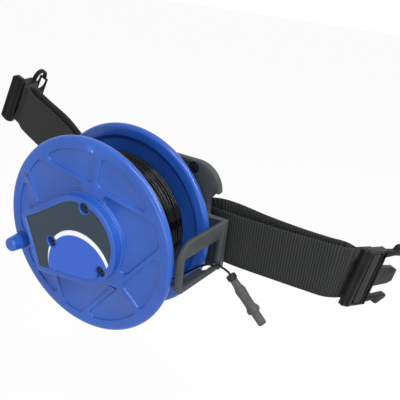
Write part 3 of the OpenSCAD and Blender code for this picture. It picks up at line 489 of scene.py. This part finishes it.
def webbing_material():
    """Ribbed weave: raised ribs across the belt, each broken into short floats of yarn; the base
    colour has a random fibre tone and painted shade, darker down in the gaps between ribs and
    floats.
    """
    material, tree, skin = new_material("webbing")
    where = tree.nodes.new("ShaderNodeUVMap")
    where.uv_map = "UVMap"
    parts = tree.nodes.new("ShaderNodeSeparateXYZ")
    tree.links.new(where.outputs["UV"], parts.inputs[0])

    def math_node(operation, a, b=0.0):
        node = tree.nodes.new("ShaderNodeMath")
        node.operation = operation
        for socket, value in zip(node.inputs, (a, b)):
            if isinstance(value, (int, float)):
                socket.default_value = value
            else:
                tree.links.new(value, socket)
        return node.outputs[0]

    yarn_pitch = 1.3 * MM
    wobble = tree.nodes.new("ShaderNodeTexNoise")
    wobble.inputs["Scale"].default_value = 260
    wobble.inputs["Detail"].default_value = 2
    tree.links.new(where.outputs["UV"], wobble.inputs["Vector"])
    shift = math_node("MULTIPLY", math_node("SUBTRACT", wobble.outputs["Fac"], 0.5), 0.7)
    ribs_gone = math_node("MULTIPLY", parts.outputs[0], 2 * math.pi / rib_pitch)
    along = math_node("ADD", ribs_gone, shift)
    ribs = math_node("ADD", math_node("MULTIPLY", math_node("COSINE", along), 0.5), 0.5)
    every_other = math_node("SIGN", math_node("SINE", math_node("MULTIPLY", along, 0.5)))
    half = math_node("MULTIPLY", every_other, math.pi / 2)
    yarns_gone = math_node("MULTIPLY", parts.outputs[1], 2 * math.pi / yarn_pitch)
    yarn = math_node("ADD", yarns_gone, half)
    yarn_wave = math_node("SINE", math_node("ADD", yarn, shift))
    floats = math_node("ADD", math_node("MULTIPLY", yarn_wave, 0.5), 0.5)
    rib_height = math_node("MULTIPLY", ribs, 0.55)
    height = math_node("ADD", rib_height, math_node("MULTIPLY", floats, 0.5))
    fibre = tree.nodes.new("ShaderNodeTexNoise")
    fibre.inputs["Scale"].default_value = 2200
    tree.links.new(where.outputs["UV"], fibre.inputs["Vector"])
    fine = math_node("ADD", height, math_node("MULTIPLY", fibre.outputs["Fac"], 0.25))
    # Base colour follows the weave's height. The fibre noise is the yarn's own random tone; the
    # darker gaps between ribs and floats are painted shade.
    weave_colour_and_gap_shade = tree.nodes.new("ShaderNodeMix")
    weave_colour_and_gap_shade.data_type = "RGBA"
    weave_colour_and_gap_shade.inputs["A"].default_value = (0.006, 0.0066, 0.0064, 1)
    weave_colour_and_gap_shade.inputs["B"].default_value = (0.045, 0.048, 0.046, 1)
    shade = tree.nodes.new("ShaderNodeMapRange")
    shade.inputs["From Min"].default_value = 0.2
    shade.inputs["From Max"].default_value = 1.2
    tree.links.new(fine, shade.inputs["Value"])
    tree.links.new(shade.outputs[0], weave_colour_and_gap_shade.inputs["Factor"])
    tree.links.new(weave_colour_and_gap_shade.outputs["Result"], skin.inputs["Base Color"])
    gloss = tree.nodes.new("ShaderNodeMapRange")
    gloss.inputs["To Min"].default_value = 0.85
    gloss.inputs["To Max"].default_value = 0.6
    tree.links.new(height, gloss.inputs["Value"])
    tree.links.new(gloss.outputs[0], skin.inputs["Roughness"])
    bump = tree.nodes.new("ShaderNodeBump")
    bump.inputs["Strength"].default_value = 0.8
    bump.inputs["Distance"].default_value = 0.4 * MM
    tree.links.new(fine, bump.inputs["Height"])
    tree.links.new(bump.outputs["Normal"], skin.inputs["Normal"])
    skin.inputs["Specular IOR Level"].default_value = 0.08
    skin.inputs["Sheen Weight"].default_value = 0.04
    skin.inputs["Sheen Roughness"].default_value = 0.5
    return material


webbing = webbing_material()
strap_stations = smooth_path([at_female(4, 1.5), at_female(2.5, 9)] + left_stations
                             + right_stations + [at_male(-3, over_y + 1)], 8)
strap_mesh, strap_length = webbing_mesh("belt_strap_woven", strap_stations + ladder_stations[1:])
strap = add_piece("belt_strap_woven", strap_mesh, webbing, "frame", ["belt_strap"])
tail_meshes = [webbing_mesh("belt_tail_right", smooth_path([at_male(-2.4, over_y + 3.4)]
                                                           + right_tail_stations, 8)),
               webbing_mesh("belt_tail_left", smooth_path([at_female(12, 2), at_female(11, 9)]
                                                          + left_tail_stations, 8))]
for mesh, length in tail_meshes:
    tail = add_piece(mesh.name, mesh, webbing, "frame", ["belt_tail"])

# ---- Buckle ----
# Side-release buckle in black acetal: a ladder half with a tongue and two squeeze arms
# on the right, and the socket half on the left.

acetal = moulded("buckle_acetal", (0.005, 0.0055, 0.0052), (0.01, 0.0105, 0.01), 0.4,
                 grain=0.0008, bump=0.1, blotch=0.02)
acetal[2].inputs["Specular IOR Level"].default_value = 0.12
for node_name, name, radius, body in (
        ("buckle_male", "buckle_ladder", 0.7, "frame"),
        ("buckle_arm_upper", "buckle_arm_top", 0.9, "arm_upper"),
        ("buckle_arm_lower", "buckle_arm_bottom", 0.9, "arm_lower"),
        ("buckle_female", "buckle_socket", 0.7, "frame")):
    rounded(node_name, name, radius * MM, acetal[0], body)

# ---- Frame and belt carrier ----
# The frame is one grey glass-filled moulding with the guard that leads the cable; the
# carrier is screwed behind it and takes the belt. Their skin has a fine spark grain.

grey_plastic = moulded("grey_plastic", (0.026, 0.031, 0.034), (0.042, 0.048, 0.052), 0.5,
                       grain=0.0009, bump=0.3, blotch=0.04)
grey_plastic[2].inputs["Specular IOR Level"].default_value = 0.25
rounded("front_frame", "frame_moulding", 1.1 * MM, grey_plastic[0], "frame", 24)
rounded("belt_carrier", "carrier_moulding", 0.8 * MM, grey_plastic[0], "frame",
        24)
foam = moulded("foam", (0.02, 0.02, 0.02), (0.045, 0.045, 0.045), 0.9, grain=0.0012, bump=0.6,
               blotch=0.006)[0]
dress("carrier_pad", foam)

# ---- Flanges, core and knob ----
# Blue impact-resistant plastic, satin from the mould, in two near blues with a fine
# grain. The front flange carries the raised pad; the rear one is in one with the core.

blue_plastic = moulded("blue_plastic", (0.012, 0.068, 0.34), (0.02, 0.092, 0.42), 0.25,
                       grain=0.0007, bump=0.08, blotch=0.05)
blue_plastic[2].inputs["Specular IOR Level"].default_value = 0.42
rounded("front_flange", "flange_front", 0.7 * MM, blue_plastic[0], "drum", 45)
rounded("rear_drum", "flange_rear", 0.7 * MM, blue_plastic[0], "drum")
rounded("crank_knob", "knob", 0.8 * MM, blue_plastic[0], "knob")

# ---- Label ----
# A printed film in the recess of the raised pad: a grey field above, a blue field below
# and a plain pale band between them.


def label_material():
    """The print: a round pale field on grey, and a round blue field over it."""
    material, tree, skin = new_material("label_print")
    where = tree.nodes.new("ShaderNodeTexCoord")

    def disc(x, z, radius, soft=0.0004):
        """Mask of a round field: one inside, nothing outside."""
        place = tree.nodes.new("ShaderNodeMapping")
        place.inputs["Location"].default_value = (-x, 0, -z)
        place.inputs["Scale"].default_value = (1, 0, 1)
        tree.links.new(where.outputs["Object"], place.inputs["Vector"])
        length = tree.nodes.new("ShaderNodeVectorMath")
        length.operation = "LENGTH"
        tree.links.new(place.outputs[0], length.inputs[0])
        inside = tree.nodes.new("ShaderNodeMapRange")
        inside.inputs["From Min"].default_value = radius + soft
        inside.inputs["From Max"].default_value = radius - soft
        tree.links.new(length.outputs["Value"], inside.inputs["Value"])
        return inside.outputs[0]

    def blend_colour(mask, below, above):
        mix = tree.nodes.new("ShaderNodeMix")
        mix.data_type = "RGBA"
        for socket, value in (("A", below), ("B", above)):
            if isinstance(value, tuple):
                mix.inputs[socket].default_value = (*value, 1)
            else:
                tree.links.new(value, mix.inputs[socket])
        tree.links.new(mask, mix.inputs["Factor"])
        return mix.outputs["Result"]

    grey_ink, pale_ink, blue_ink = (0.022, 0.038, 0.056), (0.75, 0.78, 0.85), (0.028, 0.1, 0.5)
    pale = disc(0.001, -0.0265, 0.0345)
    blue = disc(0.0005, -0.0300, 0.0335)
    colour = blend_colour(pale, grey_ink, pale_ink)
    colour = blend_colour(blue, colour, blue_ink)
    detail = tree.nodes.new("ShaderNodeGroup")
    detail.node_tree = moulded_grain
    detail.inputs["Grain size"].default_value = 0.0005
    tree.links.new(colour, skin.inputs["Base Color"])
    gloss = tree.nodes.new("ShaderNodeMapRange")
    gloss.inputs["To Min"].default_value = 0.28
    gloss.inputs["To Max"].default_value = 0.44
    tree.links.new(detail.outputs["Speck"], gloss.inputs["Value"])
    tree.links.new(gloss.outputs[0], skin.inputs["Roughness"])
    bump = tree.nodes.new("ShaderNodeBump")
    bump.inputs["Strength"].default_value = 0.06
    bump.inputs["Distance"].default_value = 0.0002
    tree.links.new(detail.outputs["Height"], bump.inputs["Height"])
    tree.links.new(bump.outputs["Normal"], skin.inputs["Normal"])
    skin.inputs["Specular IOR Level"].default_value = 0.25
    return material


dress("label_plate", label_material())

# ---- Winding ----
# The lead is wound on the core in even layers. The three outer layers are laid turn by
# turn, the upper one with gaps and a slight wander, and hide the layers below.

winding_low, winding_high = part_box("lead_winding")
winding_y = (winding_low[1] + winding_high[1]) / 2
winding_len = winding_high[1] - winding_low[1]


def winding_tree():
    """Geometry Nodes: a helix of lead round the Y axis, with a small sideways wander."""
    tree = bpy.data.node_groups.new("lead_turns", "GeometryNodeTree")
    tree.interface.new_socket("Geometry", in_out="OUTPUT", socket_type="NodeSocketGeometry")
    for name in ("Radius", "Length", "Turns", "Lead diameter", "Wander", "Start", "Bands",
                 "Bunching", "Turn start"):
        tree.interface.new_socket(name, in_out="INPUT", socket_type="NodeSocketFloat")
    tree.interface.new_socket("Cover", in_out="INPUT", socket_type="NodeSocketMaterial")
    given = tree.nodes.new("NodeGroupInput")
    out = tree.nodes.new("NodeGroupOutput")
    spiral = tree.nodes.new("GeometryNodeCurveSpiral")
    spiral.inputs["Resolution"].default_value = 72
    tree.links.new(given.outputs["Turns"], spiral.inputs["Rotations"])
    tree.links.new(given.outputs["Radius"], spiral.inputs["Start Radius"])
    tree.links.new(given.outputs["Radius"], spiral.inputs["End Radius"])
    tree.links.new(given.outputs["Length"], spiral.inputs["Height"])
    position = tree.nodes.new("GeometryNodeInputPosition")
    noise = tree.nodes.new("ShaderNodeTexNoise")
    noise.inputs["Scale"].default_value = 22
    noise.inputs["Detail"].default_value = 1
    tree.links.new(position.outputs[0], noise.inputs["Vector"])
    centred = tree.nodes.new("ShaderNodeMath")
    centred.operation = "SUBTRACT"
    centred.inputs[1].default_value = 0.5
    tree.links.new(noise.outputs["Fac"], centred.inputs[0])
    amount = tree.nodes.new("ShaderNodeMath")
    amount.operation = "MULTIPLY"
    tree.links.new(centred.outputs[0], amount.inputs[0])
    tree.links.new(given.outputs["Wander"], amount.inputs[1])
    apart = tree.nodes.new("ShaderNodeSeparateXYZ")
    tree.links.new(position.outputs[0], apart.inputs[0])
    wave = amount.outputs[0]
    phase = None
    for operation, first, second in (("DIVIDE", apart.outputs["Z"], given.outputs["Length"]),
                                     ("MULTIPLY", None, given.outputs["Bands"]),
                                     ("MULTIPLY", None, 2 * math.pi), ("SINE", None, None),
                                     ("MULTIPLY", None, given.outputs["Bunching"]),
                                     ("ADD", None, wave)):
        step = tree.nodes.new("ShaderNodeMath")
        step.operation = operation
        tree.links.new(phase if first is None else first, step.inputs[0])
        if isinstance(second, float):
            step.inputs[1].default_value = second
        elif second is not None:
            tree.links.new(second, step.inputs[1])
        phase = step.outputs[0]
    offset = tree.nodes.new("ShaderNodeCombineXYZ")
    tree.links.new(phase, offset.inputs["Z"])
    moved = tree.nodes.new("GeometryNodeSetPosition")
    tree.links.new(spiral.outputs["Curve"], moved.inputs["Geometry"])
    tree.links.new(offset.outputs[0], moved.inputs["Offset"])
    place = tree.nodes.new("ShaderNodeCombineXYZ")
    tree.links.new(given.outputs["Start"], place.inputs["Y"])
    turn = tree.nodes.new("ShaderNodeCombineXYZ")
    turn.inputs["X"].default_value = -math.pi / 2
    tree.links.new(given.outputs["Turn start"], turn.inputs["Y"])
    upright = tree.nodes.new("GeometryNodeTransform")
    tree.links.new(moved.outputs["Geometry"], upright.inputs["Geometry"])
    tree.links.new(place.outputs[0], upright.inputs["Translation"])
    tree.links.new(turn.outputs[0], upright.inputs["Rotation"])
    half = tree.nodes.new("ShaderNodeMath")
    half.operation = "MULTIPLY"
    half.inputs[1].default_value = 0.5
    tree.links.new(given.outputs["Lead diameter"], half.inputs[0])
    profile = tree.nodes.new("GeometryNodeCurvePrimitiveCircle")
    profile.inputs["Resolution"].default_value = 8
    tree.links.new(half.outputs[0], profile.inputs["Radius"])
    tube = tree.nodes.new("GeometryNodeCurveToMesh")
    tube.inputs["Fill Caps"].default_value = True
    tree.links.new(upright.outputs["Geometry"], tube.inputs["Curve"])
    tree.links.new(profile.outputs["Curve"], tube.inputs["Profile Curve"])
    smooth = tree.nodes.new("GeometryNodeSetShadeSmooth")
    tree.links.new(tube.outputs["Mesh"], smooth.inputs["Geometry"])
    real = tree.nodes.new("GeometryNodeRealizeInstances")
    tree.links.new(smooth.outputs["Geometry"], real.inputs["Geometry"])
    cover = tree.nodes.new("GeometryNodeSetMaterial")
    tree.links.new(real.outputs["Geometry"], cover.inputs["Geometry"])
    tree.links.new(given.outputs["Cover"], cover.inputs["Material"])
    tree.links.new(cover.outputs["Geometry"], out.inputs["Geometry"])
    return tree


lead_turns = winding_tree()


def plain_from_nodes(name, tree, values):
    """Evaluates a Geometry Nodes tree with its inputs set, and keeps the plain mesh."""
    holder = bpy.data.objects.new(name + "_source", bpy.data.meshes.new(name + "_source"))
    bpy.context.scene.collection.objects.link(holder)
    modifier = holder.modifiers.new("nodes", "NODES")
    modifier.node_group = tree
    for item in tree.interface.items_tree:
        if item.in_out == "INPUT" and item.name in values:
            modifier[item.identifier] = values[item.name]
    graph = bpy.context.evaluated_depsgraph_get()
    mesh = bpy.data.meshes.new_from_object(holder.evaluated_get(graph), depsgraph=graph)
    mesh.name = name
    bpy.data.objects.remove(holder)
    return mesh


winding_r = 62 * MM
layers = [("outer_turns", winding_r - lead_d / 2, 18, 2.4 * MM, 0.6, 0.5 * MM),
          ("second_turns", winding_r - lead_d * 1.45, 24.4, 0.5 * MM, 2.1, 0.0),
          ("third_turns", winding_r - lead_d * 2.25, 25.2, 0.1 * MM, 4.2, 0.0)]
for name, radius, turns, wander, start, bunching in layers:
    spread = winding_len - lead_d - wander
    mesh = plain_from_nodes(name, lead_turns, {
        "Radius": radius, "Length": spread, "Turns": turns, "Lead diameter": lead_d,
        "Wander": wander, "Start": winding_y - spread / 2, "Turn start": start,
        "Bands": 5.0, "Bunching": bunching, "Cover": lead_cover})
    add_piece(name, mesh, lead_cover, "drum", ["lead_winding"])

# ---- Metal parts ----
# Black-finished screws, a zinc-plated axle with its nut and washers, and bronze bushes.

black_steel = moulded("black_steel", (0.02, 0.02, 0.02), (0.04, 0.04, 0.04), 0.35, grain=0.0004,
                      bump=0.1)
black_steel[2].inputs["Metallic"].default_value = 0.6
zinc = moulded("zinc_plate", (0.5, 0.5, 0.5), (0.62, 0.62, 0.63), 0.3, grain=0.0003, bump=0.06,
               blotch=0.004)
zinc[2].inputs["Metallic"].default_value = 1
bronze = moulded("bronze", (0.4, 0.25, 0.1), (0.5, 0.33, 0.14), 0.4, grain=0.0003, bump=0.1,
                 blotch=0.003)
bronze[2].inputs["Metallic"].default_value = 1
for node_name in ("flange_screws", "frame_screws"):
    dress(node_name, black_steel[0])
for node_name in ("knob_pin", "clamp_screw", "axle", "axle_nut", "spring_washer", "front_washer"):
    dress(node_name, zinc[0])
for node_name in ("front_bush", "rear_bush"):
    dress(node_name, bronze[0])
dress("inner_lead", lead_cover)
dress("drag_washer", moulded("friction_fibre", (0.03, 0.03, 0.03), (0.06, 0.055, 0.05), 0.85,
                             grain=0.0008, bump=0.4, blotch=0.004)[0])
dress("lead_clamp", moulded("nylon", (0.55, 0.55, 0.5), (0.66, 0.66, 0.62), 0.4, grain=0.0005,
                            bump=0.08, blotch=0.004)[0])

# ---- Studio ----
# A pale floor below the hanging reel, soft lamps, and an even pale surround.

floor_z, floor_half = -0.34, 6
floor_mesh = bpy.data.meshes.new("floor")
floor_mesh.from_pydata([(-floor_half, -floor_half, floor_z), (floor_half, -floor_half, floor_z),
                        (floor_half, floor_half, floor_z), (-floor_half, floor_half, floor_z)],
                       [], [(0, 1, 2, 3)])
floor = bpy.data.objects.new("floor", floor_mesh)
bpy.context.scene.collection.objects.link(floor)


def pale_for_camera(tree, base, shader_in, camera_share):
    """Lets eyes, reflections and glass see plain white, and light meet the base shader."""
    path = tree.nodes.new("ShaderNodeLightPath")
    seen = tree.nodes.new("ShaderNodeMath")
    seen.operation = "MAXIMUM"
    tree.links.new(path.outputs["Is Camera Ray"], seen.inputs[0])
    more = tree.nodes.new("ShaderNodeMath")
    more.operation = "MAXIMUM"
    tree.links.new(path.outputs["Is Glossy Ray"], more.inputs[0])
    tree.links.new(path.outputs["Is Transmission Ray"], more.inputs[1])
    tree.links.new(more.outputs[0], seen.inputs[1])
    share = tree.nodes.new("ShaderNodeMath")
    share.operation = "MULTIPLY"
    share.inputs[1].default_value = camera_share
    tree.links.new(seen.outputs[0], share.inputs[0])
    white_kind = "ShaderNodeBackground" if shader_in == "World" else "ShaderNodeEmission"
    white = tree.nodes.new(white_kind)
    white.inputs["Color"].default_value = (1, 1, 1, 1)
    white.inputs["Strength"].default_value = 1
    mix = tree.nodes.new("ShaderNodeMixShader")
    tree.links.new(share.outputs[0], mix.inputs["Fac"])
    tree.links.new(base, mix.inputs[1])
    tree.links.new(white.outputs[0], mix.inputs[2])
    return mix.outputs[0]


floor_material, floor_tree, floor_skin = new_material("floor")
floor_skin.inputs["Base Color"].default_value = (0.85, 0.85, 0.85, 1)
floor_skin.inputs["Roughness"].default_value = 0.9
floor_out = floor_tree.nodes["Material Output"]
floor_tree.links.new(pale_for_camera(floor_tree, floor_skin.outputs[0], "Floor", 0.93),
                     floor_out.inputs["Surface"])
floor_mesh.materials.append(floor_material)
world = bpy.data.worlds.new("studio")
bpy.context.scene.world = world
world.use_nodes = True
sky = world.node_tree.nodes["Background"]
sky.inputs["Color"].default_value = (1, 1, 1, 1)
sky.inputs["Strength"].default_value = 0.55
world.node_tree.links.new(pale_for_camera(world.node_tree, sky.outputs[0], "World", 1.0),
                          world.node_tree.nodes["World Output"].inputs["Surface"])


def lamp(name, place, wide, high, power):
    """A soft rectangular lamp that faces the reel; its size in metres, its power in watts."""
    light = bpy.data.lights.new(name, "AREA")
    light.shape = "RECTANGLE"
    light.size = wide
    light.size_y = high
    light.energy = power
    holder = bpy.data.objects.new(name, light)
    holder.location = place
    aim = Vector((0, -0.04, 0)) - Vector(place)
    holder.rotation_euler = aim.to_track_quat("-Z", "Y").to_euler()
    bpy.context.scene.collection.objects.link(holder)


lamp("key", (0.35, -0.75, 1.2), 0.35, 0.35, 6)
lamp("fill", (0.3, -1.4, -0.1), 1.2, 0.4, 5)
lamp("side", (0.85, -0.25, 0.8), 0.06, 0.8, 10)
lamp("rim", (0.8, 0.7, 0.8), 0.4, 0.4, 5)
